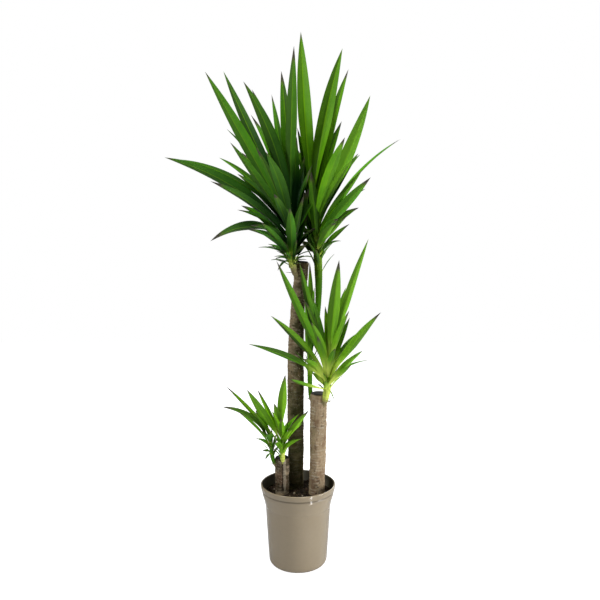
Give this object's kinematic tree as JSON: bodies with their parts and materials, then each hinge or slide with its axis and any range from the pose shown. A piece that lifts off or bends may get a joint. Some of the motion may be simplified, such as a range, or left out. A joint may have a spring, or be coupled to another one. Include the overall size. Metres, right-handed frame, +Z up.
{
  "type": "potted yucca",
  "caption": "Potted yucca: rough cut canes of unequal height with crowns of long pointed leaves, set in soil in a tapered nursery pot with a banded rim.",
  "frame": {"origin": "centre of the pot's flat underside, where it rests on the floor", "axes": "+Z up along the plant's height, -Y the front that the picture shows, +X to the right in the picture"},
  "size_m": [0.587, 0.4611, 1.342],
  "materials": {
    "pot_plastic": "gloss",
    "soil": "matte",
    "bark": "matte",
    "cut_wax": "satin",
    "leaf": "satin"
  },
  "bodies": {
    "root": {"pot": "pot_plastic", "soil": "soil", "cane_tall": "bark", "cane_medium": "bark", "cane_short": "bark", "wax_seal_tall": "cut_wax", "wax_seal_medium": "cut_wax", "wax_seal_short": "cut_wax", "shoot_tall_left": "leaf", "shoot_tall_right": "leaf", "shoot_medium_front": "leaf", "shoot_medium_back": "leaf", "shoot_short_main": "leaf", "shoot_short_side": "leaf"}
  },
  "joints": []
}
